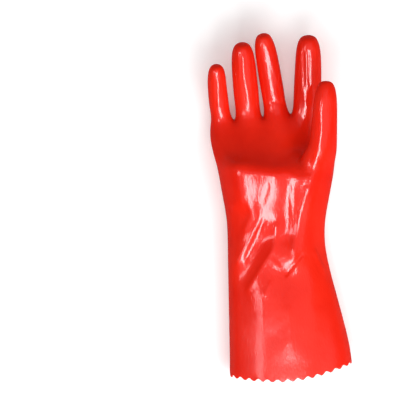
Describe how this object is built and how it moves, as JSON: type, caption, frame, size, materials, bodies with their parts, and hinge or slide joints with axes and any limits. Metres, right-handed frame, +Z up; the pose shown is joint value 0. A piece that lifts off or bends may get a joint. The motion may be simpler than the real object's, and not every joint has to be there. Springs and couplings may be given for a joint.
{
  "type": "work glove",
  "caption": "PVC coated gauntlet work glove for the right hand, lying palm up with curled fingers, a raised thumb and an open cuff with a pinked edge",
  "frame": {"origin": "on the surface that the glove lies on, under the middle of its bounding box", "axes": "+Y from the cuff's mouth to the fingertips, +X across the hand to the thumb's side, +Z up, which is where the palm faces"},
  "size_m": [0.1448, 0.3488, 0.0751],
  "materials": {
    "coated_pvc": "smooth glossy dipped coating on a bonded cotton backing"
  },
  "bodies": {
    "root": {"glove_shell": "coated_pvc"}
  },
  "joints": []
}
